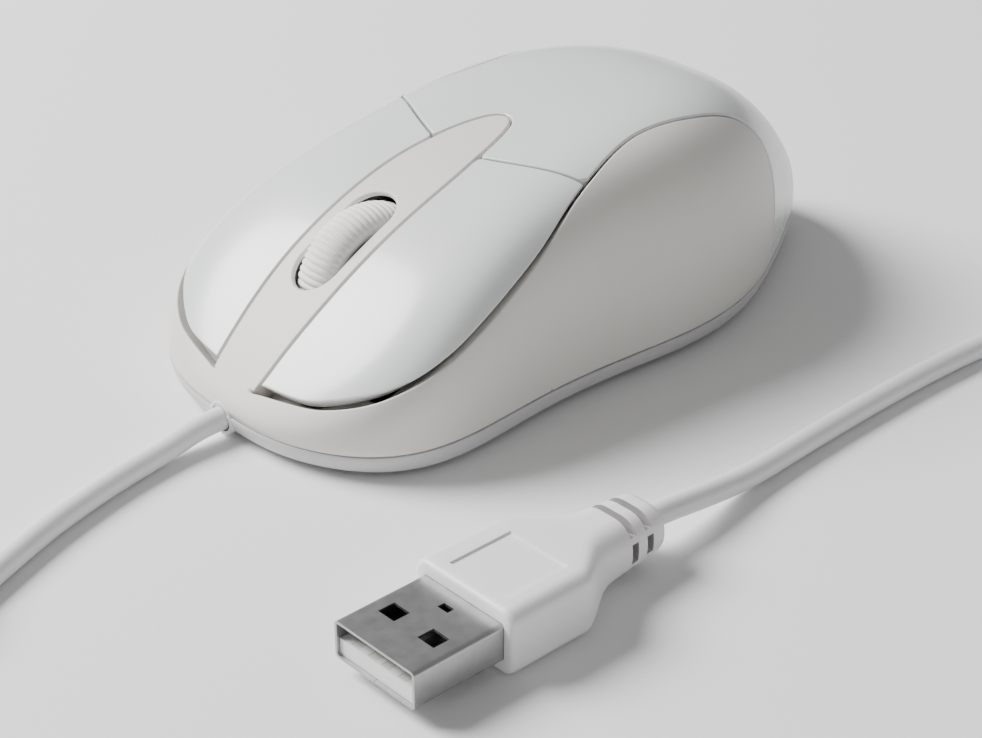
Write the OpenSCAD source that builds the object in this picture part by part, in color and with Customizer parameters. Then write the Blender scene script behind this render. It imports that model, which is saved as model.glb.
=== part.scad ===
// Compact wired optical mouse: two keys, a ribbed scroll wheel, a cord and a USB plug.
// +Z up, nose toward -Y, origin on the floor under the middle of the body. Millimetres.
// Distances called "from nose" are measured along +Y from the foremost point of the body.

/* [Body] */
// Length from nose to tail
body_l = 92; // [91:0.5:93]
// Width that the plan guides are scaled by
body_w = 45.6; // [45:0.2:46.4]
// Height that the crown guides are scaled by
body_h = 28.5; // [28:0.1:29.2]
// Wall thickness of the shells
wall = 1.6; // [1.5:0.05:1.7]
// Gap between neighbouring panels
panel_gap = 0.3; // [0.25:0.05:0.35]

/* [Scroll wheel] */
// Radius over the tyre
wheel_r = 10; // [9.8:0.1:10.2]
// Width of the tyre
wheel_w = 5.6; // [5.4:0.1:5.7]
// Radius of the wheel's axle stubs
axle_r = 1.2; // [1.1:0.1:1.3]
// Radius of the pin that the wheel cradle tilts on
pin_r = 1; // [0.9:0.1:1]
// Radial clearance of each turning fit
fit = 0.05; // [0.03:0.01:0.08]
// Number of light slots in the hub
hub_slots = 24; // [18:2:26]

/* [Switches and board] */
// Thickness of the circuit board
board_t = 1.2; // [1.1:0.05:1.3]
// Height of the key micro-switches
switch_h = 6.5; // [6.3:0.1:6.6]
// Number of inner wires from the cord
wire_count = 4; // [3:1:4]

/* [Cord and plug] */
// Diameter of the cord
cord_d = 2.8; // [2.6:0.1:2.8]
// Width of the plug's steel shell
plug_w = 12; // [11.9:0.05:12.1]
// Height of the plug's steel shell
plug_h = 4.5; // [4.4:0.05:4.6]
// Length of the steel shell that shows
plug_l = 11.6; // [11.4:0.1:11.8]

/* [Hidden] */
$fn = 48;
nose = -body_l / 2;
// Plan guides (share of half the width) and crown guides (share of the height) at six even stations
side_guide = [1.14, 1.12, 0.965, 0.987, 0.833, 0.605];
crown_guide = [0.21, 0.69, 0.926, 1.014, 0.982, 0.618];
plan_n = 2.8;
shut_nose = 3.4;
shut_tail = 3.7;
section_a = [8.5, 1.7];
section_b = [4.5, 3.25];
tuck = 1.3;
base_z = 0.6;
base_top = base_z + 1.5;
shut_gap = 0.12;

// Seam between the pearl panels and the ivory shell on the +X side: x and distance from nose
seam = [[4, 2], [13.7, 4.2], [20, 9.2], [22.3, 17.2], [20.5, 30.5], [17.3, 41], [14.5, 51.5],
        [14.6, 62], [14.5, 70], [15.4, 74.4], [18, 76.8]];
// Half-width of the centre spine and distance from nose
spine = [[3.9, -4], [3.9, 2], [4.3, 5], [5, 13], [5.1, 22], [4.8, 30], [3.9, 36], [2.9, 40],
         [1.7, 42.8], [0, 44]];
key_setback = 0.95;
key_t = 1.8;
deck_drop = 3.6;
deck_t = 1.2;
rim_t = 1.2;
groove_from = 34.8;
groove_slope = 0.22;
groove_bow = 0.009;

// Wheel, its slot and the cradle
slot_from = 18.8;
slot_l = 13.8;
slot_w = 6.4;
wheel_from = 22.1;
wheel_z = 13;
hub_r = 8.2;
hub_w = 4.4;
arm_x = 3.7;
arm_t = 1.2;
pivot_from = 36.5;
pivot_z = 9;
post_x = 5.2;
post_t = 2;
tab_z = 10.2;

// Board and what stands on it
board_z = 4.4;
board_top = board_z + board_t;
board_inset = 3.7;
switch_x = 14.2;
switch_from = 20.5;
switch_size = [5.8, 12.8, switch_h];
plunger_from = 18;
plunger_rise = 0.8;
touch_gap = 0.05;
tact_at = [-8.1, 25.5];
tact_size = [6, 6, 3.6];
spring_at = [7.2, 25.5];
spring_r = 1.5;
spring_wire = 0.4;
spring_turns = 5;
eye_from = wheel_from - 4.5;
eye_z = wheel_z - 4.55;
chip_from = 50;
led_from = 62;
screw_from = 79;
header_at = [13, 40];
capacitor_at = [-12.4, 43];
chip_spots = [[9, 55], [9, 58.5], [-9, 65], [6, 69.5], [-4, 69.5], [12, 52]];
boss_spots = [[-13, 30.6], [13, 30.6], [-12.5, 66], [12.5, 66]];

// Cord: height of its exit, route points and stored coil
exit_z = 2.5;
cord_r = cord_d / 2;
wire_r = 0.38;
wire_pitch = 0.95;
front_route = [[0, -43.6, 2.5], [0, -49, 2.3], [0.5, -54, 1.6], [2, -62, 1.45], [4.6, -71, 1.45],
               [7.8, -79, 1.45], [11, -86, 1.45], [13.6, -91, 1.45], [15.2, -96, 1.45]];
rear_route = [[15.5, -101, 4.2], [15.8, -105.5, 4], [17, -110, 3], [20, -113.8, 1.7], [25, -115.5, 1.45],
              [31, -112.5, 1.45], [39, -105, 1.45], [48, -96.5, 1.45], [62, -81.5, 1.45], [76, -65.5, 1.45],
              [88, -50.5, 1.45], [97, -37, 1.45], [101, -26, 1.45], [100.5, -15, 1.45], [95, -3, 1.45],
              [86, 10, 1.45], [77, 23, 1.45], [70, 35, 1.45], [64, 44, 1.45], [56.5, 48.8, 1.45],
              [49.5, 46, 1.45], [46.2, 38, 1.45], [45.6, 27, 1.45], [46, 14, 1.45], [46.8, 2, 1.45],
              [47.8, -8, 1.7], [48.6, -16, 2.9], [48.9, -24, 4], [49.05, -31, 4]];
coil_at = [-4, -102];
coil_mid_r = 16.8;
coil_columns = 3;
coil_pitch = cord_d + 0.05;

// Plug: where its mouth is, how it is turned, and its moulded body
plug_mouth = [49.9, -63];
plug_yaw = 1.5;
plug_z = 4;
plug_wall = 0.32;
mould_size = [14.6, 13.6, 7.8];
relief_l = 12.4;
tongue_t = 1.9;
contact_xs = [-3.5, -1, 1, 3.5];

// ---- Curves and surfaces ----

function basis(s, i, j = 0) = j > 5 ? 1 : (j == i ? 1 : (s - j) / (i - j)) * basis(s, i, j + 1);
function station(y) = 5 * (y - nose) / body_l;
function guide(values, y) = values * [for (i = [0:5]) basis(station(y), i)];
function along(pair, y) = pair[0] + (pair[1] - pair[0]) * (y - nose) / body_l;
function half_w(y) = body_w / 2 * guide(side_guide, y);
function crown_z(y) = body_h * guide(crown_guide, y);
function shut_z(y) = along([shut_nose, shut_tail], y);
function signed_pow(v, p) = sign(v) * pow(abs(v), p);

// Height over the floor at share q of the way from the middle of the plan to its outline
function height_at(y, q, g) = shut_z(y) + (crown_z(y) - g - shut_z(y))
    * pow(max(0, 1 - pow(q, along(section_a, y))), 1 / along(section_b, y));

// One closed outline of the plan, scaled by q and shrunk by g
function ring_xy(q, g, n) = [for (i = [0:n - 1])
    let (a = 360 * i / n, y = q * (body_l / 2 - g) * signed_pow(sin(a), 2 / plan_n))
    [q * (half_w(y) - g) * signed_pow(cos(a), 2 / plan_n), y]];
function crown_ring(q, g, n) = [for (p = ring_xy(q, g, n)) [p.x, p.y, height_at(p.y, q, g)]];
function skirt_ring(v, g, n) = [for (p = ring_xy(1, g, n))
    let (k = 1 - tuck * v * v / norm(p)) [p.x * k, p.y * k, shut_z(p.y) + v * (base_z + g - shut_z(p.y))]];

// Open spline through 2D or 3D points, with n steps between neighbours
function spline_at(a, b, c, d, t) = 0.5 * (2 * b + (c - a) * t + (2 * a - 5 * b + 4 * c - d) * t * t
    + (3 * b - a - 3 * c + d) * t * t * t);
function spline(p, n) = let (last = len(p) - 1) concat([for (i = [0:last - 1], k = [0:n - 1])
    spline_at(p[max(0, i - 1)], p[i], p[i + 1], p[min(last, i + 2)], k / n)], [p[last]]);

// Closed skin over rings of equal length, listed from the upper or first end
module loft(rings) {
    n = len(rings[0]);
    m = len(rings);
    mean = function (r) [for (k = [0:2]) [for (p = r) p[k]] * [for (p = r) 1] / n];
    points = concat([for (r = rings) each r], [mean(rings[0]), mean(rings[m - 1])]);
    sides = [for (i = [0:m - 2], j = [0:n - 1]) let (a = i * n + j, b = i * n + (j + 1) % n)
        each [[a, b, b + n], [a, b + n, a + n]]];
    first = [for (j = [0:n - 1]) [m * n, (j + 1) % n, j]];
    last = [for (j = [0:n - 1]) [m * n + 1, (m - 1) * n + j, (m - 1) * n + (j + 1) % n]];
    polyhedron(points, concat(sides, first, last), convexity = 6);
}

// Round tube of radius r along a list of points
module tube(path, r, sides = 8) {
    m = len(path) - 1;
    loft([for (i = [0:m])
        let (d = path[min(m, i + 1)] - path[max(0, i - 1)], t = d / norm(d),
             s0 = cross(t, [0, 0, 1]), s = norm(s0) < 0.01 ? [1, 0, 0] : s0 / norm(s0), u = cross(s, t))
        [for (k = [0:sides - 1]) let (a = 360 * (k + 0.5) / sides)
            path[i] + r * (cos(a) * s + sin(a) * u)]]);
}

// Solid of the whole body, shrunk on every side by g
module body_solid(g = 0, n = 56) {
    crown = [for (i = [1:11]) crown_ring(sin(90 * i / 11), g, n)];
    skirt = [for (v = [0.4, 0.75, 1]) skirt_ring(v, g, n)];
    loft(concat(crown, skirt));
}

module lowered(drop) translate([0, 0, -drop]) body_solid();

// Everything above (+1) or below (-1) the shut line, by the given gap
module beyond_shut(side, gap) {
    tilt = atan((shut_tail - shut_nose) / body_l);
    z = (shut_nose + shut_tail) / 2 + side * gap;
    translate([0, 0, z]) rotate([tilt, 0, 0])
        translate([-50, -75, side > 0 ? 0 : -40]) cube([100, 150, 40]);
}

// Joins its children into one closed skin
module one_skin() resize([0, 0, 0]) union() children();

module at(x, from_nose, z) translate([x, nose + from_nose, z]) children();
module block(size) translate([-size.x / 2, -size.y / 2, 0]) cube(size);
module rod(r, l) rotate([0, 90, 0]) cylinder(r = r, h = l, center = true);
module prism(h = 60) linear_extrude(h) children();
module both_sides() for (s = [-1, 1]) scale([s, 1, 1]) children();
module rounded(size, r) linear_extrude(size.z) hull() for (x = [-1, 1], y = [-1, 1])
    translate([x * (size.x / 2 - r), y * (size.y / 2 - r)]) circle(r, $fn = 24);

// ---- Plan shapes of the panels ----

function from_nose(p) = [p.x, nose + p.y];
module pearl_plan() {
    right = [for (p = spline(seam, 6)) from_nose(p)];
    tail = [[24, nose + 84], [24, nose + 110]];
    edge = concat([[0, right[0].y]], right, tail);
    polygon(concat(edge, [for (i = [len(edge) - 1:-1:1]) [-edge[i].x, edge[i].y]]));
}
module spine_plan() {
    right = [for (p = spline(spine, 5)) from_nose(p)];
    polygon(concat(right, [for (i = [len(right) - 2:-1:0]) [-right[i].x, right[i].y]]));
}
function groove_y(x) = nose + groove_from + groove_slope * abs(x) + groove_bow * x * x;
module ahead_of_groove(shift = 0) {
    edge = [for (x = [-26:2:26]) [x, groove_y(x) + shift]];
    polygon(concat([[-26, nose - 10]], edge, [[26, nose - 10]]));
}
module key_plan() difference() {
    intersection() {
        offset(delta = -panel_gap) pearl_plan();
        translate([0, key_setback]) pearl_plan();
        ahead_of_groove(-panel_gap / 2);
        translate([0, -body_l]) square([30, 2 * body_l]);
    }
    offset(delta = panel_gap) spine_plan();
}
module palm_plan() difference() {
    offset(delta = -panel_gap) pearl_plan();
    ahead_of_groove(panel_gap / 2);
    offset(delta = panel_gap) spine_plan();
}
module slot_plan() hull() for (s = [-1, 1])
    translate([0, nose + slot_from + s * (slot_l - slot_w) / 2]) circle(slot_w / 2, $fn = 32);

module cord_hole() at(0, -5, exit_z) rotate([-90, 0, 0]) cylinder(r = cord_r + 0.25, h = 12, $fn = 24);

// ---- Shells and keys ----

module upper_shell() color([0.93, 0.91, 0.87]) one_skin() difference() {
    body_solid();
    // Openings of the keys, which end at the deck, and of the palm cover
    difference() {
        prism() difference() {
            pearl_plan();
            spine_plan();
        }
        intersection() {
            lowered(deck_drop);
            prism() ahead_of_groove(2);
        }
    }
    // Hollow inside, which leaves the deck and the rims that carry it
    difference() {
        body_solid(wall);
        difference() {
            prism() intersection() {
                offset(delta = rim_t) pearl_plan();
                ahead_of_groove(3);
            }
            lowered(deck_drop + deck_t);
            prism() offset(delta = -rim_t) spine_plan();
        }
    }
    beyond_shut(-1, -shut_gap / 2);
    prism() slot_plan();
    wheel_frame() cylinder(r = wheel_r + 0.5, h = slot_w + 0.3, center = true);
    // Windows that the key switches stand in
    both_sides() at(switch_x, switch_from, 0) block([switch_size.x + 1, switch_size.y + 1, 60]);
    // Small windows behind the front rim
    both_sides() at(8.6, 8, 0) block([3.4, 3, 60]);
    cord_hole();
}

module palm_cover() color([0.95, 0.95, 0.96]) one_skin() {
    difference() {
        intersection() {
            body_solid();
            prism() palm_plan();
        }
        body_solid(wall);
        beyond_shut(-1, -shut_gap / 2);
    }
    // Boss for the case screw
    difference() {
        intersection() {
            at(0, screw_from, shut_tail + 1.6) cylinder(r = 2.7, h = 30, $fn = 24);
            body_solid(wall - 0.3);
        }
        at(0, screw_from, 0) cylinder(r = 1.3, h = 14, $fn = 24);
    }
}

module key() one_skin() {
    difference() {
        intersection() {
            body_solid();
            prism() key_plan();
        }
        lowered(key_t);
    }
    // Rib that presses the switch
    intersection() {
        at(switch_x, plunger_from, board_top + switch_h + plunger_rise + touch_gap) block([2.4, 2, 12]);
        body_solid(key_t - 0.5);
    }
}
module left_button() color([0.95, 0.95, 0.96]) key();
module right_button() color([0.95, 0.95, 0.96]) mirror([1, 0, 0]) key();

module bottom_shell() color([0.88, 0.9, 0.93]) {
    difference() {
        union() {
            one_skin() difference() {
                body_solid();
                body_solid(base_top - base_z);
                beyond_shut(1, -shut_gap / 2);
            }
            // Posts for the board, for the cradle pin and for the case screw
            for (p = boss_spots) at(p.x, p.y, base_top - 0.2)
                cylinder(r = 2.2, h = board_z - base_top + 0.2);
            both_sides() at(post_x + post_t / 2, pivot_from, base_top - 0.2)
                block([post_t, 4.4, pivot_z + 2 - base_top + 0.2]);
            at(0, screw_from, base_top - 0.2) cylinder(r = 3.6, h = shut_tail + 1.5 - base_top + 0.2);
        }
        for (p = boss_spots) at(p.x, p.y, base_z + 0.9) cylinder(r = 0.85, h = 8);
        at(0, pivot_from, pivot_z) rod(pin_r + 0.02, 40);
        at(0, screw_from, 0) cylinder(r = 1.5, h = 20);
        at(0, screw_from, 0) cylinder(r = 2.6, h = base_z + 1.9);
        // Sensor window and the cord's way out
        at(0, chip_from, 0) block([8.6, 7.2, 10]);
        cord_hole();
    }
}

// ---- Underside ----

module glide_foot(size, r) rounded([size.x, size.y, base_z], r);
module front_glide_foot() color("whitesmoke") at(0, 9, 0) glide_foot([20, 4.6], 2.2);
module rear_glide_foot() color("whitesmoke") at(0, 85.5, 0) glide_foot([9, 3.2], 1.5);
module rating_label() color("silver") at(0, 65, base_z - 0.12) rounded([21, 14, 0.12], 1.2);
module case_screw() color("gray") at(0, screw_from, 0) difference() {
    union() {
        translate([0, 0, base_z + 0.7]) cylinder(r = 2.3, h = 1.2);
        translate([0, 0, base_z + 1.9]) cylinder(r = 1.25, h = 9);
    }
    translate([0, 0, base_z + 0.6]) for (a = [0, 90]) rotate(a) block([2.6, 0.6, 0.7]);
}

// ---- Scroll wheel and its cradle ----

module wheel_frame() at(0, wheel_from, wheel_z) rotate([0, 90, 0]) children();
module scroll_tyre() color([0.96, 0.96, 0.94]) wheel_frame() rotate_extrude($fn = 96) polygon(concat(
    [[hub_r, -wheel_w / 2 + 0.1], [hub_r, wheel_w / 2 - 0.1]],
    [for (s = [1:-0.2:-1]) [wheel_r - 1.7 * pow(abs(s), 2.2), s * wheel_w / 2]]));
module scroll_hub() color([0.85, 0.85, 0.83]) wheel_frame() difference() {
    union() {
        cylinder(r = hub_r, h = hub_w, center = true);
        cylinder(r = axle_r, h = 2 * (arm_x + arm_t), center = true);
        cylinder(r = 2.2, h = 2 * arm_x - 0.2, center = true);
    }
    for (s = [-1, 1]) translate([0, 0, s * 1.6]) difference() {
        cylinder(r = 7.6, h = 1.6, center = true);
        cylinder(r = 2.2, h = 2, center = true);
    }
    for (i = [0:hub_slots - 1]) rotate(360 * i / hub_slots) translate([6.4, 0, -2]) block([1.8, 0.7, 4]);
}

module side_outline(points, x, t) translate([x, nose, 0]) rotate([90, 0, 90])
    linear_extrude(t) polygon(points);
module arm() {
    rise = wheel_z - pivot_z;
    side_outline([[wheel_from, wheel_z - 2.1], [pivot_from, pivot_z - 1.5], [pivot_from, pivot_z + 2],
                  [pivot_from - 3, pivot_z + rise], [wheel_from, wheel_z + 2.1]], arm_x, arm_t);
    at(arm_x + arm_t / 2, wheel_from, wheel_z) rod(2.1, arm_t);
    at(arm_x + arm_t / 2, pivot_from, pivot_z) rod(2, arm_t);
    at(arm_x + arm_t + 2.6, spring_at.y, tab_z) block([5.4, 3, 1.4]);
}
module wheel_cradle() color([0.3, 0.3, 0.32]) difference() {
    union() {
        arm();
        mirror([1, 0, 0]) arm();
        at(0, pivot_from - 1.6, pivot_z - 0.9) block([2 * arm_x + 0.4, 1.8, 2.4]);
    }
    at(0, wheel_from, wheel_z) rod(axle_r + fit, 30);
    at(0, pivot_from, pivot_z) rod(pin_r + fit, 30);
}
module cradle_pin() color("silver") at(0, pivot_from, pivot_z) rod(pin_r, 2 * (post_x + post_t));
module cradle_spring() color("silver") {
    rise = tab_z - board_top - spring_wire;
    steps = 10 * spring_turns;
    at(spring_at.x, spring_at.y, board_top + spring_wire / 2) tube([for (i = [0:steps])
        [spring_r * cos(36 * i), spring_r * sin(36 * i), rise * i / steps]], spring_wire / 2 * 0.9, 5);
}
module eye(x) at(x, eye_from, board_top) {
    block([1.8, 3.8, eye_z - board_top + 1.6]);
    translate([-sign(x) * 0.9, 0, eye_z - board_top]) rod(0.7, 0.7);
}
module wheel_emitter() color([0.75, 0.78, 0.85]) eye(4.75);
module wheel_detector() color([0.15, 0.15, 0.17]) eye(-4.75);

// ---- Switches ----

module switch_body() difference() {
    at(switch_x, switch_from, board_top) union() {
        block(switch_size);
        for (d = [-1.7, 0, 1.7]) translate([0, 3 * d, -board_t - 1]) block([0.8, 0.4, board_t + 1.2]);
    }
    at(switch_x, plunger_from, board_top + switch_h - 1.4) block([3, 1.8, 2]);
}
module switch_plunger() at(switch_x, plunger_from, board_top + switch_h - 0.8)
    block([2.6, 1.4, plunger_rise + 0.8]);
module left_switch_body() color([0.16, 0.16, 0.18]) switch_body();
module right_switch_body() color([0.16, 0.16, 0.18]) mirror([1, 0, 0]) switch_body();
module left_switch_plunger() color("firebrick") switch_plunger();
module right_switch_plunger() color("firebrick") mirror([1, 0, 0]) switch_plunger();

module middle_switch_body() color([0.2, 0.2, 0.22]) at(tact_at.x, tact_at.y, board_top) difference() {
    block(tact_size);
    translate([0, 0, tact_size.z - 1.2]) cylinder(r = 1.75, h = 2);
}
module middle_switch_plunger() color("dimgray") at(tact_at.x, tact_at.y, board_top + tact_size.z - 0.6)
    cylinder(r = 1.65, h = tab_z - touch_gap - board_top - tact_size.z + 0.6);

// ---- Board and electronics ----

module circuit_board() color([0.2, 0.4, 0.22]) difference() {
    intersection() {
        translate([0, 0, board_z]) linear_extrude(board_t) polygon(ring_xy(1, board_inset, 64));
        at(0, 41.2, 0) block([60, 65, 20]);
    }
    at(0, 10, 0) block([8, 6.4, 20]);
    at(0, wheel_from, 0) block([7.2, 15.4, 20]);
    both_sides() at(post_x + post_t / 2, pivot_from, 0) block([post_t + 0.6, 5, 20]);
    both_sides() for (d = [-1.7, 0, 1.7]) at(switch_x, switch_from + 3 * d, 0) block([1.2, 0.8, 20]);
    at(0, chip_from, 0) block([7.2, 7.2, 20]);
    at(0, led_from + 0.5, 0) block([3.4, 6, 20]);
    for (p = boss_spots) at(p.x, p.y, 0) cylinder(r = 0.95, h = 20);
    // Holes for the capacitor's leads
    for (s = [-1, 1]) at(capacitor_at.x, capacitor_at.y + 1.2 * s, 0) cylinder(r = 0.45, h = 20, $fn = 16);
}
module board_screws() color("silver") for (p = boss_spots) at(p.x, p.y, board_top) {
    cylinder(r = 1.7, h = 0.9);
    translate([0, 0, 0.1 - board_t - 2.2]) cylinder(r = 0.8, h = board_t + 2.2);
}
module sensor_chip() color([0.12, 0.12, 0.13]) at(0, chip_from, board_top) {
    block([9.4, 12, 3]);
    for (s = [-1, 1], i = [-2:2]) translate([s * 5.2, 2.1 * i, 0]) block([1.2, 0.5, 1.2]);
}
module sensor_lens() color([0.8, 0.9, 0.95, 0.6]) at(0, chip_from, base_top) {
    translate([0, 3, 0]) block([15, 19, 1]);
    translate([0, 0, -1.2]) cylinder(r = 2.4, h = 3.4);
    translate([0, 8, 0]) block([3, 5, 2.2]);
}
module sensor_led() color([0.9, 0.3, 0.3, 0.7]) at(0, led_from, board_top + 2.6) rotate([90, 0, 0]) {
    cylinder(r = 2.4, h = 0.9);
    cylinder(r = 2, h = 3.4);
    translate([0, 0, 3.4]) sphere(r = 2);
}
module led_clip() color([0.1, 0.1, 0.11]) at(0, led_from, board_top) difference() {
    translate([0, -0.6, 0]) block([8, 6.6, 6.6]);
    translate([0, -5, 2.6]) rotate([-90, 0, 0]) cylinder(r = 2.42, h = 10);
    translate([0, -0.6, -0.1]) block([5.2, 8, 2.7]);
}
module wire_header() color("ivory") at(header_at.x, header_at.y, board_top) difference() {
    block([5, 12, 5.6]);
    translate([0, 0, 2]) block([3.4, 10.4, 4]);
}
// The wires lie one above another, and the top one turns off first
module inner_wires() {
    colours = ["red", "green", "white", "black"];
    for (i = [0:wire_count - 1]) {
        up = wire_pitch * i;
        z = board_top + wire_r + 0.15;
        turn = header_at.y + 3.9 - 2.6 * i;
        route = [[0, 6.92, 3], [0.4, 9, 3.6], [1.7, 11.2, 5.1], [4.6, 13.4, z + 0.4],
                  [8, 14.8, z], [9.7, 17.2, z],
                 [9.9, 21, z], [9.9, 28, z], [9.9, turn - 4.2, z]];
        end = [[9.9, turn - 2.2, z + 2 + 0.5 * up], [10.1, turn - 0.6, 11], [11.2, turn, 12.4],
               [12.7, turn, 12], [header_at.x, turn, 9.4]];
        color(colours[i]) tube([for (p = spline(concat([for (p = route) p + [0, 0, up]], end), 2))
            [p.x, nose + p.y, p.z]], wire_r, 6);
    }
}
module capacitor() color([0.15, 0.2, 0.35]) at(capacitor_at.x, capacitor_at.y, board_top) {
    cylinder(r = 2.5, h = 8);
    for (s = [-1, 1]) translate([0, 1.2 * s, -board_t - 0.4]) cylinder(r = 0.3, h = board_t + 1, $fn = 16);
}
module resonator() color("darkorange") at(-10, 58, board_top) rounded([7, 3, 5], 1.2);
module chip_resistors() color([0.25, 0.22, 0.2])
    for (p = chip_spots) at(p.x, p.y, board_top) block([2, 1.2, 0.6]);

// ---- Cord ----

module cord_gland() color([0.9, 0.9, 0.9]) difference() {
    union() {
        at(0, 0.3, exit_z) rotate([-90, 0, 0]) cylinder(r = cord_r + 0.22, h = 5);
        at(0, 5.7, base_top + 0.02) block([5.2, 2.4, 4.2]);
    }
    at(0, 0, exit_z) rotate([-90, 0, 0]) cylinder(r = cord_r + 0.02, h = 2.6);
}
module cord_front_run() color([0.93, 0.93, 0.94]) tube(spline(front_route, 2), cord_r);
module cord_rear_run() color([0.93, 0.93, 0.94]) tube(spline(rear_route, 2), cord_r);
module cord_coil() color([0.93, 0.93, 0.94]) translate([coil_at.x, coil_at.y, 0.05])
    rotate_extrude($fn = 96) translate([coil_mid_r - coil_columns * coil_pitch / 2, 0])
        square([coil_columns * coil_pitch, 2 * cord_d - 0.1]);

// ---- Plug, built with its mouth at the origin and its axis along +Y ----

module plug_frame() translate([plug_mouth.x, plug_mouth.y, plug_z]) rotate(plug_yaw) children();
module across(size) translate([-size.x / 2, 0, -size.z / 2]) cube(size);
module plug_overmould() color([0.96, 0.96, 0.97]) plug_frame() translate([0, plug_l, 0]) difference() {
    union() {
        hull() for (x = [-1, 1], y = [1.4, mould_size.y - 1.4], z = [-1, 1])
            translate([x * (mould_size.x / 2 - 1.4), y, z * (mould_size.z / 2 - 1.4)])
                sphere(r = 1.4, $fn = 16);
        hull() {
            translate([0, mould_size.y - 1, 0]) across([12, 0.5, 6.6]);
            translate([0, mould_size.y + 3.4, 0]) across([8, 0.5, 5.8]);
        }
        translate([0, mould_size.y + 3, 0]) rotate([-90, 0, 0])
            cylinder(r1 = 3.6, r2 = 2.9, h = relief_l - 3);
    }
    // Slots between the rings of the strain relief
    for (d = [5.2, 8]) translate([0, mould_size.y + d, 0]) for (a = [0, 180]) rotate([0, a, 0])
        translate([-4, 0, 1.9]) cube([8, 1.1, 4]);
    translate([0, mould_size.y + 4, 0]) rotate([-90, 0, 0]) cylinder(r = cord_r + 0.02, h = 20);
    translate([0, -0.1, 0]) across([plug_w + 0.04, 4.1, plug_h + 0.04]);
}
module plug_shell() color("silver") plug_frame() difference() {
    across([plug_w, plug_l + 3.9, plug_h]);
    translate([0, -1, 0]) across([plug_w - 2 * plug_wall, plug_l + 4, plug_h - 2 * plug_wall]);
    for (x = [-1, 1], z = [-1, 1]) translate([x * 2.95, 4.1, z * plug_h / 2]) across([2.4, 2.1, 2]);
    translate([-0.75, 8.9, plug_h / 2 - 0.5]) cube([1.5, 0.9, 2]);
}
module plug_tongue() color("white") plug_frame() translate([0, 0.35, -(plug_h / 2 - plug_wall) + 0.03])
    difference() {
        translate([-(plug_w / 2 - plug_wall) + 0.04, 0, 0])
            cube([plug_w - 2 * plug_wall - 0.08, plug_l + 2.5, tongue_t]);
        for (x = contact_xs) translate([x - 0.6, 0.2, tongue_t - 0.3]) cube([1.2, plug_l - 1.4, 1]);
    }
module plug_contacts() color("gold") plug_frame() translate([0, 0.6, -(plug_h / 2 - plug_wall) + 0.03])
    for (x = contact_xs) translate([x - 0.55, 0, tongue_t - 0.28]) cube([1.1, plug_l - 1.6, 0.26]);

upper_shell();
palm_cover();
left_button();
right_button();
bottom_shell();
front_glide_foot();
rear_glide_foot();
rating_label();
case_screw();
scroll_tyre();
scroll_hub();
wheel_cradle();
cradle_pin();
cradle_spring();
wheel_emitter();
wheel_detector();
left_switch_body();
left_switch_plunger();
right_switch_body();
right_switch_plunger();
middle_switch_body();
middle_switch_plunger();
circuit_board();
board_screws();
sensor_chip();
sensor_lens();
sensor_led();
led_clip();
wire_header();
inner_wires();
capacitor();
resonator();
chip_resistors();
cord_gland();
cord_front_run();
cord_coil();
cord_rear_run();
plug_overmould();
plug_shell();
plug_tongue();
plug_contacts();
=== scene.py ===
"""Looks of the wired optical mouse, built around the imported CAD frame. Lengths inside are in millimetres
until a mesh is made, and everything sits in the CAD frame: nose toward -Y, +Z up, floor at z = 0."""

import math

import bmesh
import bpy
import numpy as np
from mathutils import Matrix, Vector, geometry


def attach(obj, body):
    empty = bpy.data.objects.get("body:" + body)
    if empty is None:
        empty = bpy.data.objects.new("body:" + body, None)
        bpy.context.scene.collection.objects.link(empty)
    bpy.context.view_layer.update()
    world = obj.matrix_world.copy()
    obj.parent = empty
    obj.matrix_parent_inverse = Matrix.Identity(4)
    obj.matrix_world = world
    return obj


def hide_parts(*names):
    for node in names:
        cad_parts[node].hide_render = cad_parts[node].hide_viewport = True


MM = 0.001
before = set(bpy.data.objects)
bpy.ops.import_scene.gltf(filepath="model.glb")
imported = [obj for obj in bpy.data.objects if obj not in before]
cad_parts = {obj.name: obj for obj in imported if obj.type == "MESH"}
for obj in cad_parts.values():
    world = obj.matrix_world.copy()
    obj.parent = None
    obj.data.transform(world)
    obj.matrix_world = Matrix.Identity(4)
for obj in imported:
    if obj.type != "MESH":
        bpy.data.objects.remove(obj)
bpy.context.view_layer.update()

# ---------------------------------------------------------------- camera

LENS_MM = 85.42
SENSOR_MM = 36.0
EYE = Vector((194.48, -173.61, 142.1)) * MM
TARGET = Vector((21.8, -23.5, 10.0)) * MM

camera = bpy.data.objects.new("camera", bpy.data.cameras.new("camera"))
bpy.context.collection.objects.link(camera)
camera.data.lens = LENS_MM
camera.data.sensor_width = SENSOR_MM
camera.data.clip_start = 0.01
camera.data.clip_end = 20.0
camera.location = EYE
camera.rotation_euler = (TARGET - EYE).to_track_quat("-Z", "Y").to_euler()
bpy.context.scene.camera = camera


# ---------------------------------------------------------------- materials

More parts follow.
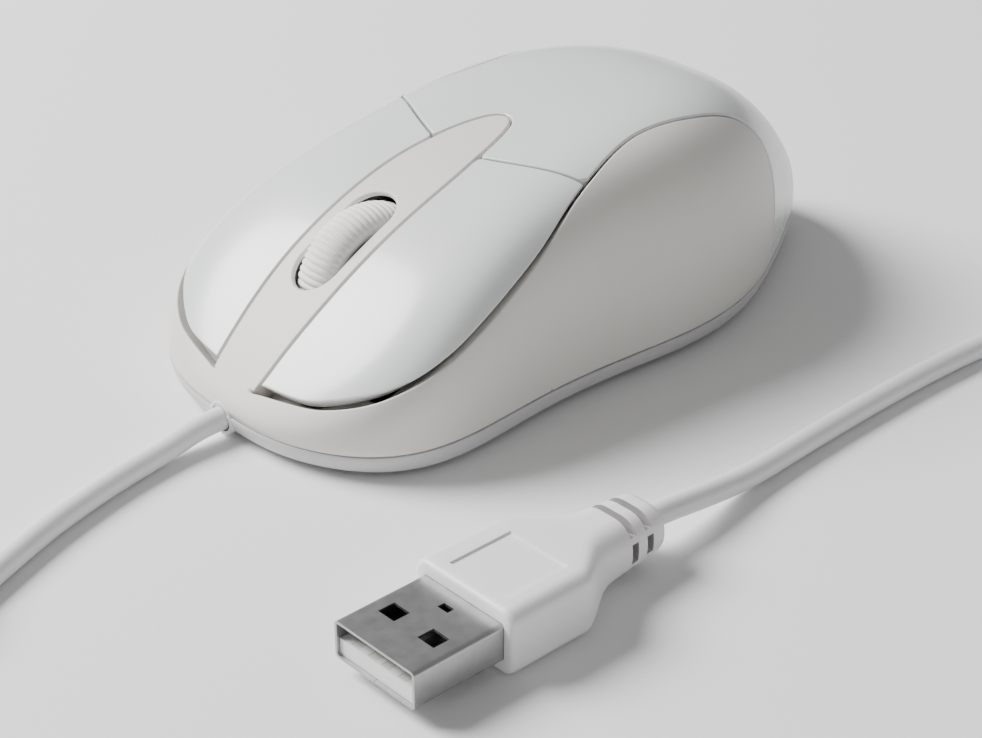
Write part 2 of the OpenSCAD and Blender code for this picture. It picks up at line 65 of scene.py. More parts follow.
def surface(name, low, high, rough=(0.4, 0.5), patch=60.0, grain=2500.0, bump=0.00002, strength=0.3,
            metallic=0.0, coat=0.0, transmission=0.0):
    """A material whose colour and roughness drift over the surface, with a fine moulded grain."""
    mat = bpy.data.materials.new(name)
    mat.use_nodes = True
    tree = mat.node_tree
    shader = tree.nodes["Principled BSDF"]
    shader.inputs["Metallic"].default_value = metallic
    shader.inputs["Coat Weight"].default_value = coat
    shader.inputs["Coat Roughness"].default_value = 0.12
    shader.inputs["Transmission Weight"].default_value = transmission
    place = tree.nodes.new("ShaderNodeTexCoord").outputs["Object"]
    drift = tree.nodes.new("ShaderNodeTexNoise")
    drift.inputs["Scale"].default_value = patch
    drift.inputs["Detail"].default_value = 4.0
    tree.links.new(place, drift.inputs["Vector"])
    ramp = tree.nodes.new("ShaderNodeValToRGB")
    ramp.color_ramp.elements[0].position = 0.3
    ramp.color_ramp.elements[1].position = 0.7
    ramp.color_ramp.elements[0].color = (*low, 1.0)
    ramp.color_ramp.elements[1].color = (*high, 1.0)
    tree.links.new(drift.outputs["Fac"], ramp.inputs["Fac"])
    tree.links.new(ramp.outputs["Color"], shader.inputs["Base Color"])
    spread = tree.nodes.new("ShaderNodeMapRange")
    spread.inputs["To Min"].default_value = rough[0]
    spread.inputs["To Max"].default_value = rough[1]
    tree.links.new(drift.outputs["Fac"], spread.inputs["Value"])
    tree.links.new(spread.outputs["Result"], shader.inputs["Roughness"])
    fine = tree.nodes.new("ShaderNodeTexNoise")
    fine.inputs["Scale"].default_value = grain
    fine.inputs["Detail"].default_value = 2.0
    tree.links.new(place, fine.inputs["Vector"])
    relief = tree.nodes.new("ShaderNodeBump")
    relief.inputs["Strength"].default_value = strength
    relief.inputs["Distance"].default_value = bump
    tree.links.new(fine.outputs["Fac"], relief.inputs["Height"])
    tree.links.new(relief.outputs["Normal"], shader.inputs["Normal"])
    return mat


PEARL = surface("pearl", (0.75, 0.765, 0.77), (0.785, 0.795, 0.80), rough=(0.24, 0.30), patch=45,
                grain=5200, bump=0.000006, strength=0.2, coat=0.35)
IVORY = surface("ivory", (0.72, 0.695, 0.65), (0.755, 0.73, 0.685), rough=(0.42, 0.50), patch=70,
                grain=4200, bump=0.00001, strength=0.35)
BASE = surface("base_white", (0.57, 0.56, 0.565), (0.605, 0.595, 0.60), rough=(0.42, 0.52), patch=80,
               grain=3600, bump=0.00001, strength=0.35)
TYRE = surface("wheel_rubber", (0.88, 0.865, 0.83), (0.91, 0.895, 0.86), rough=(0.5, 0.62), patch=300,
               grain=6000, bump=0.00002, strength=0.3)
CORD = surface("cord_vinyl", (0.80, 0.80, 0.81), (0.84, 0.84, 0.85), rough=(0.42, 0.52), patch=120,
               grain=5000, bump=0.00001, strength=0.3)
PLUG_WHITE = surface("plug_white", (0.90, 0.895, 0.90), (0.93, 0.925, 0.93), rough=(0.34, 0.44), patch=160,
                     grain=4200, bump=0.00001, strength=0.35)
# A darker copy of the white vinyl, painted as the shade inside the strain relief's grooves.
GROOVE_SHADE = surface("plug_groove_shade", (0.40, 0.375, 0.38), (0.44, 0.41, 0.42), rough=(0.5, 0.6), patch=160)
STEEL = surface("nickel", (0.42, 0.42, 0.42), (0.48, 0.48, 0.48), rough=(0.34, 0.42), patch=900,
                grain=7000, bump=0.000003, strength=0.2, metallic=1.0)
TONGUE = surface("tongue_white", (0.80, 0.80, 0.79), (0.85, 0.85, 0.84), rough=(0.4, 0.5), patch=400)
BRASS = surface("contact_plate", (0.82, 0.80, 0.74), (0.88, 0.86, 0.80), rough=(0.2, 0.3), patch=900,
                grain=7000, bump=0.000003, strength=0.2, metallic=0.15)
PAD = surface("glide_pad", (0.82, 0.82, 0.80), (0.86, 0.86, 0.84), rough=(0.28, 0.42), patch=300)
FILM = surface("label_film", (0.66, 0.67, 0.68), (0.70, 0.71, 0.72), rough=(0.22, 0.34), patch=260)
DARK = surface("dark_plastic", (0.02, 0.02, 0.023), (0.032, 0.032, 0.035), rough=(0.4, 0.55), patch=500)
RED = surface("red_plastic", (0.40, 0.04, 0.035), (0.48, 0.06, 0.05), rough=(0.38, 0.5), patch=500)
BOARD = surface("board_lacquer", (0.035, 0.15, 0.055), (0.055, 0.19, 0.08), rough=(0.3, 0.42), patch=350)
CLEAR = surface("clear_plastic", (0.80, 0.86, 0.88), (0.84, 0.89, 0.91), rough=(0.05, 0.12), patch=200,
                transmission=0.85)
RED_CLEAR = surface("red_clear", (0.75, 0.08, 0.07), (0.82, 0.11, 0.09), rough=(0.08, 0.15), patch=300,
                    transmission=0.6)
HEADER = surface("header_plastic", (0.72, 0.69, 0.58), (0.77, 0.74, 0.64), rough=(0.42, 0.52), patch=400)
WIRES = surface("wire_sheath", (0.42, 0.10, 0.09), (0.50, 0.16, 0.14), rough=(0.38, 0.48), patch=60)
SLEEVE = surface("sleeve_film", (0.05, 0.07, 0.18), (0.07, 0.09, 0.22), rough=(0.2, 0.3), patch=300)
AMBER = surface("amber_ceramic", (0.52, 0.23, 0.05), (0.60, 0.29, 0.08), rough=(0.4, 0.52), patch=500)
INNER_SHADE = surface("inner_shadow_plastic", (0.40, 0.385, 0.36), (0.44, 0.425, 0.395), rough=(0.5, 0.6),
                patch=90)


def paint_shade_inward(mat, y_from, y_to, deep):
    """Paints shade into the colour: mixes it toward a dark one along +Y, for the shade that deepens inside
    a narrow mouth.
    """
    tree = mat.node_tree
    shader = tree.nodes["Principled BSDF"]
    colour = shader.inputs["Base Color"].links[0].from_socket
    axis = tree.nodes.new("ShaderNodeSeparateXYZ")
    tree.links.new(tree.nodes["Texture Coordinate"].outputs["Object"], axis.inputs["Vector"])
    span = tree.nodes.new("ShaderNodeMapRange")
    span.inputs["From Min"].default_value = y_from
    span.inputs["From Max"].default_value = y_to
    tree.links.new(axis.outputs["Y"], span.inputs["Value"])
    blend = tree.nodes.new("ShaderNodeMixRGB")
    tree.links.new(span.outputs["Result"], blend.inputs["Fac"])
    tree.links.new(colour, blend.inputs["Color1"])
    blend.inputs["Color2"].default_value = (*deep, 1.0)
    tree.links.new(blend.outputs["Color"], shader.inputs["Base Color"])


def paint(obj, mat):
    obj.data.materials.clear()
    obj.data.materials.append(mat)


def add_mesh(name, points_mm, faces, mat, normals=None):
    """A mesh piece from millimetre points; normals, where given, are one per vertex."""
    data = bpy.data.meshes.new(name)
    data.from_pydata([tuple(float(c) * MM for c in p) for p in points_mm], [], [tuple(f) for f in faces])
    data.update()
    obj = bpy.data.objects.new(name, data)
    bpy.context.collection.objects.link(obj)
    paint(obj, mat)
    data.shade_smooth()
    if normals is not None:
        data.normals_split_custom_set_from_vertices([tuple(float(c) for c in n) for n in normals])
    return obj


def own(obj, body, slot, *nodes):
    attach(obj, body)
    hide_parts(*nodes)
    return obj


# ---------------------------------------------------------------- curves

def spline(points, per_span):
    """Catmull-Rom curve through the points."""
    p = np.asarray(points, float)
    last = len(p) - 1
    out = []
    for i in range(last):
        a, b, c, d = p[max(0, i - 1)], p[i], p[i + 1], p[min(last, i + 2)]
        for k in range(per_span):
            t = k / per_span
            out.append(0.5 * (2 * b + (c - a) * t + (2 * a - 5 * b + 4 * c - d) * t * t
                              + (3 * b - a - 3 * c + d) * t ** 3))
    out.append(p[last])
    return np.array(out)


# ---------------------------------------------------------------- cord

CORD_D = 2.8
FRONT_ROUTE = [(0, -43.6, 2.5), (0, -49, 2.3), (0.5, -54, 1.6), (2, -62, 1.45), (4.6, -71, 1.45),
               (7.8, -79, 1.45), (11, -86, 1.45), (13.6, -91, 1.45), (15.2, -96, 1.45)]
REAR_ROUTE = [(15.5, -101, 4.2), (15.8, -105.5, 4), (17, -110, 3), (20, -113.8, 1.7), (25, -115.5, 1.45),
              (31, -112.5, 1.45), (39, -105, 1.45), (48, -96.5, 1.45), (62, -81.5, 1.45), (76, -65.5, 1.45),
              (88, -50.5, 1.45), (97, -37, 1.45), (101, -26, 1.45), (100.5, -15, 1.45), (95, -3, 1.45),
              (86, 10, 1.45), (77, 23, 1.45), (70, 35, 1.45), (64, 44, 1.45), (56.5, 48.8, 1.45),
              (49.5, 46, 1.45), (46.2, 38, 1.45), (45.6, 27, 1.45), (46, 14, 1.45), (46.8, 2, 1.45),
              (47.8, -8, 1.7), (48.6, -16, 2.9), (48.9, -24, 4), (49.05, -31, 4)]
COIL_AT = (-4.0, -102.0)
COIL_RADII = (19.6, 16.8, 14.0)
LAYER_Z = (1.45, 4.15)


def ease(t):
    t = min(1.0, max(0.0, t))
    return t * t * (3 - 2 * t)


def coil_point(angle):
    """A point of the stored coil. The angle falls from 17 degrees; each step has its own sector."""
    steps = [(-283, 60, "r", -2.8), (-643, 60, "r", -2.8), (-943, 60, "z", LAYER_Z[1] - LAYER_Z[0]),
             (-1243, 60, "r", 2.8), (-1603, 60, "r", 2.8)]
    r, z = COIL_RADII[0], LAYER_Z[0]
    for start, span, what, change in steps:
        gone = ease((start - angle) / span)
        if what == "r":
            r += change * gone
        else:
            z += change * gone
    a = math.radians(angle)
    return (COIL_AT[0] + r * math.cos(a), COIL_AT[1] + r * math.sin(a), z)


coil_start, coil_end, coil_step = 17.0, -2158.0, 7.5
coil_turns = int((coil_start - coil_end) / coil_step)
coil = [coil_point(coil_start + (coil_end - coil_start) * i / coil_turns) for i in range(2, coil_turns)]
cord_line = np.vstack([spline(FRONT_ROUTE, 5), coil, spline(REAR_ROUTE, 5)])
for _ in range(2):
    cord_line[1:-1] = 0.25 * cord_line[:-2] + 0.5 * cord_line[1:-1] + 0.25 * cord_line[2:]
cord_curve = bpy.data.curves.new("cord", "CURVE")
cord_curve.dimensions = "3D"
cord_curve.bevel_depth = CORD_D / 2 * MM
cord_curve.bevel_resolution = 5
cord_curve.use_fill_caps = True
run = cord_curve.splines.new("POLY")
run.points.add(len(cord_line) - 1)
for point, place in zip(run.points, cord_line):
    point.co = (*(place * MM), 1.0)
run.use_smooth = True
cord = bpy.data.objects.new("cord", cord_curve)
bpy.context.collection.objects.link(cord)
paint(cord, CORD)
own(cord, "chassis", "cord_vinyl", "cord_front_run", "cord_coil", "cord_rear_run")

# ---------------------------------------------------------------- body surface

BODY_L, BODY_W, BODY_H = 92.0, 45.6, 28.5
HALF_L, FLAT_W = BODY_L / 2, 23.0
NOSE = -HALF_L
SIDE_GUIDE = (1.14, 1.12, 0.965, 0.987, 0.833, 0.605)
CROWN_GUIDE = (0.21, 0.69, 0.926, 1.014, 0.982, 0.618)
PLAN_N = 2.8
SHUT = (3.4, 3.7)
SECTION_A = (8.5, 1.7)
SECTION_B = (4.5, 3.25)
TUCK = 1.3
BASE_Z = 0.6
FAN = 1.7
SKIRT = 0.12


def guide(values, y):
    s = 5 * (np.asarray(y, float) - NOSE) / BODY_L
    total = np.zeros_like(s)
    for i, value in enumerate(values):
        term = np.full_like(s, value)
        for j in range(6):
            if j != i:
                term = term * (s - j) / (i - j)
        total = total + term
    return total


def along(pair, y):
    return pair[0] + (pair[1] - pair[0]) * (y - NOSE) / BODY_L


def half_w(y):
    return BODY_W / 2 * guide(SIDE_GUIDE, y)


def plan_q(x, y):
    return ((np.abs(x) / half_w(y)) ** PLAN_N + (np.abs(y) / HALF_L) ** PLAN_N) ** (1 / PLAN_N)


def height_at(y, q):
    zs = along(SHUT, y)
    rise = np.clip(1 - np.clip(q, 0, 1) ** along(SECTION_A, y), 0, 1) ** (1 / along(SECTION_B, y))
    return zs + (BODY_H * guide(CROWN_GUIDE, y) - zs) * rise


# The outer surface is spread flat: the middle is near the plan, and the steep rim is fanned out.
Q_TABLE = np.sin(np.linspace(0, math.pi / 2, 4001))
FAN_TABLE = Q_TABLE + (FAN - 1) * (1 - np.clip(1 - Q_TABLE ** 5, 0, 1) ** 0.25)


def spread(x, y):
    """Flat coordinates of a point of the crown given in plan."""
    q = np.maximum(plan_q(x, y), 1e-9)
    far = np.interp(q, Q_TABLE, FAN_TABLE)
    return np.stack([x / half_w(y) / q * far * FLAT_W, y / q * far], -1)


def surface_at(flat):
    """Point of the body's outer surface for flat coordinates; past the crown's rim comes the lower wall."""
    u, v = flat[..., 0] / FLAT_W, flat[..., 1] / HALF_L
    far = np.maximum((np.abs(u) ** PLAN_N + np.abs(v) ** PLAN_N) ** (1 / PLAN_N), 1e-9)
    q = np.interp(far, FAN_TABLE, Q_TABLE)
    y = v / far * q * HALF_L
    x = u / far * q * half_w(y)
    z = height_at(y, q)
    low = np.clip((far - FAN) / SKIRT, 0, 1)
    k = 1 - TUCK * low ** 2 / np.maximum(np.hypot(x, y), 1.0)
    z = z - low * (z - BASE_Z) * (far > FAN)
    return np.stack([x * k, y * k, z], -1)


def normal_at(flat, h=0.04):
    du, dv = np.array([h, 0.0]), np.array([0.0, h])
    along_u = surface_at(flat + du) - surface_at(flat - du)
    along_v = surface_at(flat + dv) - surface_at(flat - dv)
    n = np.cross(along_u, along_v)
    return n / np.maximum(np.linalg.norm(n, axis=-1, keepdims=True), 1e-12)


def resample(loop, step):
    """Points spaced evenly in 3D along a closed loop of flat coordinates."""
    closed = np.vstack([loop, loop[:1]])
    fine = np.vstack([closed[:-1] + (closed[1:] - closed[:-1]) * t for t in (0, 0.25, 0.5, 0.75)])
    fine = fine.reshape(4, -1, 2).transpose(1, 0, 2).reshape(-1, 2)
    fine = np.vstack([fine, fine[:1]])
    run_length = np.concatenate([[0], np.cumsum(np.linalg.norm(np.diff(surface_at(fine), axis=0), axis=1))])
    count = max(12, int(run_length[-1] / step))
    at = np.linspace(0, run_length[-1], count, endpoint=False)
    return np.stack([np.interp(at, run_length, fine[:, k]) for k in (0, 1)], -1)


def inside(points, loop):
    """Even-odd test of flat points against a loop."""
    x, y = points[:, 0][:, None], points[:, 1][:, None]
    x1, y1 = loop[:, 0][None], loop[:, 1][None]
    x2, y2 = np.roll(loop[:, 0], -1)[None], np.roll(loop[:, 1], -1)[None]
    cross = ((y1 > y) != (y2 > y)) & (x < (x2 - x1) * (y - y1) / np.where(y2 == y1, 1e-12, y2 - y1) + x1)
    return (cross.sum(1) % 2) == 1


def signed_area(loop):
    x, y = loop[:, 0], loop[:, 1]
    return 0.5 * float((x * np.roll(y, -1) - np.roll(x, -1) * y).sum())


def nearest(points, targets):
    """Distance to the closest target and its number, for each point."""
    best, who = np.full(len(points), 1e9), np.zeros(len(points), int)
    for at in range(0, len(points), 400):
        d = np.linalg.norm(points[at:at + 400, None] - targets[None], axis=2)
        who[at:at + 400], best[at:at + 400] = d.argmin(1), d.min(1)
    return best, who


def panel(name, loops, mat, edge_r=(0.25,), wall=(1.6,), step=0.5, spacing=1.0, drop=0.0):
    """A skin over the body's surface. loops[0] is its outline in flat coordinates and the rest are holes;
    every edge is rounded over by its edge_r and turned down into a wall of its own depth."""
    flats, edges, borders, row_points, row_gap, rim_3d, rim_in, rim_r = [], [], [], [], [], [], [], []
    start = 0
    for index, loop in enumerate(loops):
        if (signed_area(loop) > 0) != (index == 0):
            loop = loop[::-1]
        loop = resample(loop, step)
        count, r = len(loop), edge_r[min(index, len(edge_r) - 1)]
        here = surface_at(loop)
        tangent = np.roll(here, -1, 0) - np.roll(here, 1, 0)
        tangent /= np.linalg.norm(tangent, axis=1, keepdims=True)
        inward = np.cross(normal_at(loop), tangent)
        inward /= np.linalg.norm(inward, axis=1, keepdims=True)
        h = 0.02
        by_u = (surface_at(loop + [h, 0]) - surface_at(loop - [h, 0])) / (2 * h)
        by_v = (surface_at(loop + [0, h]) - surface_at(loop - [0, h])) / (2 * h)
        e, f, g = (by_u ** 2).sum(1), (by_u * by_v).sum(1), (by_v ** 2).sum(1)
        a, b = (by_u * inward).sum(1), (by_v * inward).sum(1)
        det = np.maximum(e * g - f * f, 1e-6)
        shift = np.stack([(g * a - f * b) / det, (e * b - f * a) / det], -1)
        for row in (0.13, 0.5, 1.0):
            row_points.append(loop + shift * r * row)
            row_gap.append(np.full(count, r * row * 0.9))
        flats.append(loop)
        borders.append(np.arange(start, start + count))
        edges += [(start + i, start + (i + 1) % count) for i in range(count)]
        rim_3d.append(here)
        rim_in.append(inward)
        rim_r.append(np.full(count, r))
        start += count
    rim, rim_3d = np.vstack(flats), np.vstack(rim_3d)
    rim_in, rim_r = np.vstack(rim_in), np.concatenate(rim_r)
    low, high = rim.min(0), rim.max(0)
    lines = np.arange(low[1], high[1], spacing * 0.87)
    grid = np.array([(x + (k % 2) * spacing / 2, y) for k, y in enumerate(lines)
                     for x in np.arange(low[0], high[0], spacing)])

    def covered(points):
        good = inside(points, flats[0])
        for hole in flats[1:]:
            good &= ~inside(points, hole)
        return good

    def keep(points, margin):
        far = nearest(surface_at(points), rim_3d)[0]
        good = covered(points) & (far > margin)
        return points[good]

    rows = keep(np.vstack(row_points), np.concatenate(row_gap))
    middle = grid[covered(grid)]
    middle = keep(middle, max(edge_r) + 0.4)
    verts, _, tris, sources, _, _ = geometry.delaunay_2d_cdt(
        [Vector(map(float, p)) for p in np.vstack([rim, rows, middle])], edges, [], 0, 1e-7)
    flat = np.array([tuple(v) for v in verts])
    new_id = {old: new for new, many in enumerate(sources) for old in many}
    tris = np.array(tris)
    tris = tris[covered(flat[tris].mean(1))]
    side_a, side_b = flat[tris[:, 1]] - flat[tris[:, 0]], flat[tris[:, 2]] - flat[tris[:, 0]]
    flip = side_a[:, 0] * side_b[:, 1] - side_a[:, 1] * side_b[:, 0] < 0
    tris[flip] = tris[flip][:, ::-1]
    here, n = surface_at(flat), normal_at(flat)
    far, who = nearest(here, rim_3d)
    r = rim_r[who]
    across = np.abs(((here - rim_3d[who]) * rim_in[who]).sum(1))
    turn = np.clip(np.where(far < 3 * r, np.minimum(far, across), far) / r, 0, 1)
    sink = r * (1 - np.sqrt(np.clip(1 - (1 - turn) ** 2, 0, 1)))
    tilt = np.arccos(np.clip(1 - turn, -1, 1))[:, None]
    shade = n * np.sin(tilt) - rim_in[who] * np.cos(tilt)
    shade /= np.linalg.norm(shade, axis=1, keepdims=True)
    points = here - n * sink[:, None] - [0, 0, drop]
    faces = [tuple(int(i) for i in t) for t in tris]
    points, shade = list(points), list(shade)
    for index, border in enumerate(borders):
        ids, deep = [new_id[int(i)] for i in border], wall[min(index, len(wall) - 1)]
        base, count = len(points), len(ids)
        for i in ids:
            points.append(points[i] - n[i] * deep)
            shade.append(shade[i])
        faces += [(ids[(k + 1) % count], ids[k], base + k, base + (k + 1) % count) for k in range(count)]
    return add_mesh(name, points, faces, mat, normals=shade)


def from_nose(points):
    return [(x, NOSE + d) for x, d in points]


def to_flat(points):
    p = np.array(points, float)
    return spread(p[:, 0], p[:, 1])


def rim_arc(first, last, count=400):
    """The crown's rim in flat coordinates, between two angles in degrees."""
    a = np.radians(np.linspace(first, last, count))
    c, s = np.cos(a), np.sin(a)
    return np.stack([FAN * FLAT_W * np.sign(c) * np.abs(c) ** (2 / PLAN_N),
                     FAN * HALF_L * np.sign(s) * np.abs(s) ** (2 / PLAN_N)], -1)


# ---------------------------------------------------------------- panels

SEAM = from_nose([(4, 2), (13.7, 4.2), (20, 9.2), (22.3, 17.2), (20.5, 30.5), (17.3, 41), (14.5, 51.5),
                  (14.6, 62), (14.5, 70), (15.4, 74.4), (18, 76.8)])
SPINE = from_nose([(3.9, 2), (4.3, 5), (5, 13), (5.1, 22), (4.8, 30), (3.9, 36), (2.9, 40), (1.7, 42.8),
                   (0.45, 43.9)])
GAP = 0.3


def groove_y(x, shift=0.0):
    return NOSE + 34.8 + 0.22 * abs(x) + 0.009 * x * x + shift


def shifted(line, gap):
    """The open line moved sideways by gap, to the left of its direction."""
    p = np.array(line, float)
    t = np.gradient(p, axis=0)
    t /= np.linalg.norm(t, axis=1, keepdims=True)
    return p + np.stack([-t[:, 1], t[:, 0]], -1) * gap


seam_line = spline(SEAM, 10)
spine_line = spline(SPINE, 8)
seam_in = shifted(seam_line, GAP)
spine_out = shifted(spine_line, -GAP)


def crossing(line):
    """The part of a plan line that lies on the crown, ended exactly on its rim."""
    q = plan_q(line[:, 0], line[:, 1])
    first = int(np.argmax(q > 1))
    t = (1 - q[first - 1]) / (q[first] - q[first - 1])
    return np.vstack([line[:first], line[first - 1] + t * (line[first] - line[first - 1])])


def rim_angle(y):
    s = (abs(y) / HALF_L) ** (PLAN_N / 2)
    return math.degrees(math.asin(s))


def mirror(line):
    return np.asarray(line)[::-1] * [-1, 1]


def behind(line, shift):
    return np.array([p for p in line if p[1] > groove_y(p[0], shift)])


def ahead(line, shift):
    return np.array([p for p in line if p[1] < groove_y(p[0], shift)])


def groove(first, last, shift, count=30):
    return np.array([(x, groove_y(x, shift)) for x in np.linspace(first, last, count)])


# Palm cover: seam, tail, seam, groove with the notch for the spine's tip
palm_side = crossing(behind(seam_in, 0.65))
palm_notch = behind(spine_out, 0.4)
tail = rim_angle(palm_side[-1][1])
palm_loop = np.vstack([
    to_flat(palm_side), rim_arc(tail + 0.2, 179.8 - tail), to_flat(mirror(palm_side)),
    to_flat(groove(-palm_side[0][0] + 0.35, -palm_notch[0][0] - 0.35, 0.15)),
    to_flat(mirror(palm_notch[::-1])), to_flat(palm_notch[::-1]),
    to_flat(groove(palm_notch[0][0] + 0.35, palm_side[0][0] - 0.35, 0.15))])
palm = panel("palm_cover_skin", [palm_loop], PEARL, edge_r=(0.24,))
own(palm, "chassis", "pearl_plastic", "palm_cover")

# Keys: a wide dark gap in front that narrows along the side, and a sharp tip by the spine
t = np.gradient(seam_line, axis=0)
t /= np.linalg.norm(t, axis=1, keepdims=True)
inward = np.stack([-t[:, 1], t[:, 0]], -1)
front_gap = np.interp(seam_line[:, 1:2] - NOSE, [2, 2.6, 3.2, 4.4, 6.2, 9.2, 12, 17],
                      [0.85, 0.6, 0.46, 0.7, 0.75, 0.5, 0.36, GAP])
key_rim = ahead(seam_line + inward * front_gap, -0.6)
tip_x = 4.38
tip = [tip_x, np.interp(tip_x, key_rim[:30, 0], key_rim[:30, 1])]
key_rim = np.vstack([[tip], key_rim[key_rim[:, 0] > tip_x + 0.2]])
key_inner = ahead(spine_out, -0.5)
key_inner = key_inner[key_inner[:, 1] > key_rim[0][1] + 0.12]
key_rear = groove(key_rim[-1][0] - 0.35, key_inner[-1][0] + 0.3, -0.15)
key_plan = np.vstack([key_rim, key_rear, key_inner[::-1]])
for side, name, body in ((1, "left_button", "left_key"), (-1, "right_button", "right_key")):
    key = panel(name + "_skin", [to_flat(key_plan * [side, 1])], PEARL, edge_r=(0.22,), wall=(1.7,))
    own(key, body, "pearl_plastic", name)

# Ivory shell: seams, spine, rim of the crown, and the wheel's slot
ivory_side = crossing(seam_line)
corner = rim_angle(ivory_side[-1][1])
SLOT_W, SLOT_L, SLOT_FROM = 6.4, 13.8, 18.8
slot = []
for a in np.linspace(0, 360, 96, endpoint=False):
    c, sn = math.cos(math.radians(a)), math.sin(math.radians(a))
    end = math.copysign((SLOT_L - SLOT_W) / 2, sn)
    slot.append((SLOT_W / 2 * c, NOSE + SLOT_FROM + end + SLOT_W / 2 * sn))
ivory_loop = np.vstack([
    to_flat(ivory_side), rim_arc(corner - 0.2, -180.2 - corner + 0.4, 900), to_flat(mirror(ivory_side)),
    to_flat(mirror(spine_line[::-1])), to_flat(spine_line[::-1])])
ivory = panel("upper_shell_skin", [ivory_loop, to_flat(slot)], IVORY, edge_r=(0.22, 0.35), wall=(3.4, 0.2))
own(ivory, "chassis", "ivory_plastic", "upper_shell")

# Deck under the keys, in a darkened ivory: painted shade beneath the keys
deck_edge = shifted(seam_line, -0.4)
deck_edge = ahead(deck_edge, 2.0)
deck_inner = ahead(spine_line, 2.0)
deck_plan = np.vstack([deck_edge, groove(deck_edge[-1][0], deck_inner[-1][0], 2.0), deck_inner[::-1]])


DECK_DROP = 3.6
SWITCH_OPENING = ((10.8, 15), (17.6, 15), (17.6, 28), (10.8, 28))
RIM_OPENINGS = (((8.7, 5.2), (11.3, 5.8), (13.6, 7.3), (13.2, 9), (8.9, 7.6)),
                ((15.7, 8.9), (17.7, 9.4), (18.8, 11.8), (18.3, 13), (15.9, 11.4)))


def corners(side, points):
    return np.array([(side * x, NOSE + d) for x, d in points])


for side, name in ((1, "left"), (-1, "right")):
    outlines = [deck_plan * [side, 1]]
    outlines += [corners(side, points) for points in (SWITCH_OPENING, *RIM_OPENINGS)]
    deck = panel(name + "_key_deck", [to_flat(line) for line in outlines], INNER_SHADE, edge_r=(0.1,),
                 wall=(1.2,), spacing=1.4, drop=DECK_DROP)
    own(deck, "chassis", "ivory_plastic", "upper_shell")

# ---------------------------------------------------------------- bottom shell

RINGS = 360
rim_ring = rim_arc(0, 360, RINGS + 1)[:-1]


def skirt(v):
    return surface_at(rim_ring * (1 + SKIRT * v / FAN))


def inset(ring, by):
    t = np.roll(ring, -1, 0) - np.roll(ring, 1, 0)
    t[:, 2] = 0
    t /= np.linalg.norm(t, axis=1, keepdims=True)
    return ring + np.stack([-t[:, 1], t[:, 0], 0 * t[:, 0]], -1) * by


def lower(ring, by):
    return ring - [0, 0, by]


top_edge = lower(skirt(0), 0.06)
base_rings = [inset(top_edge, 1.5), inset(top_edge, 0.25), lower(inset(top_edge, 0.07), 0.07),
              lower(top_edge, 0.25)]
base_rings += [skirt(v) for v in (0.25, 0.45, 0.65, 0.82)]
foot_r = 0.45
foot = skirt(1.0)
for turn in (0, 22.5, 45, 67.5, 90):
    c, sn = math.cos(math.radians(turn)), math.sin(math.radians(turn))
    ring = inset(foot, foot_r * (1 - c))
    ring[:, 2] = BASE_Z + foot_r * (1 - sn)
    base_rings.append(ring)
points = np.vstack(base_rings)
faces = []
for i in range(len(base_rings) - 1):
    for j in range(RINGS):
        a, b = i * RINGS + j, i * RINGS + (j + 1) % RINGS
        faces.append((a, a + RINGS, b + RINGS, b))
floor_ring = base_rings[-1][:, :2]


def circle(x, y, r, count=48):
    return [(x + r * math.cos(2 * math.pi * i / count), y + r * math.sin(2 * math.pi * i / count))
            for i in range(count)]


SCREW_Y, CHIP_Y = NOSE + 79, NOSE + 50
SCREW_RISE, WINDOW_RISE = 1.9, 1.5
recess = circle(0, SCREW_Y, 2.6)
window_plan = [(sx * 4.3, CHIP_Y + sy * 3.6) for sx, sy in ((-1, -1), (1, -1), (1, 1), (-1, 1))]
loops = [floor_ring, np.array(recess), np.array(window_plan)]
cloud, edges = [], []
for loop in loops:
    at = len(cloud)
    cloud += [tuple(p) for p in loop]
    edges += [(at + i, at + (i + 1) % len(loop)) for i in range(len(loop))]
verts, _, tris, sources, _, _ = geometry.delaunay_2d_cdt(
    [Vector(map(float, p)) for p in cloud], edges, [], 0, 1e-7)
flat = np.array([tuple(v) for v in verts])
new_id = {old: new for new, many in enumerate(sources) for old in many}
tris = np.array(tris)
mid = flat[tris].mean(1)
tris = tris[inside(mid, loops[0]) & ~inside(mid, loops[1]) & ~inside(mid, loops[2])]
at = len(points)
ground = np.column_stack([flat, np.full(len(flat), BASE_Z)])
extra = []
for triangle in tris:
    p0, p1, p2 = flat[triangle]
    up = (p1[0] - p0[0]) * (p2[1] - p0[1]) - (p1[1] - p0[1]) * (p2[0] - p0[0])
    extra.append(tuple(int(at + i) for i in (triangle[::-1] if up > 0 else triangle)))
points = np.vstack([points, ground])
first = len(floor_ring)
for loop, rise in ((loops[1], SCREW_RISE), (loops[2], WINDOW_RISE)):
    base = len(points)
    points = np.vstack([points, np.column_stack([loop, np.full(len(loop), BASE_Z + rise)])])
    for i in range(len(loop)):
        j = (i + 1) % len(loop)
        a, b = at + new_id[first + i], at + new_id[first + j]
        extra.append((a, b, base + j, base + i))
    first += len(loop)
bottom = add_mesh("bottom_shell_skin", points, faces + extra, BASE)
bottom.data.set_sharp_from_angle(angle=math.radians(40))
own(bottom, "chassis", "base_plastic", "bottom_shell")

# ---------------------------------------------------------------- scroll wheel's tyre

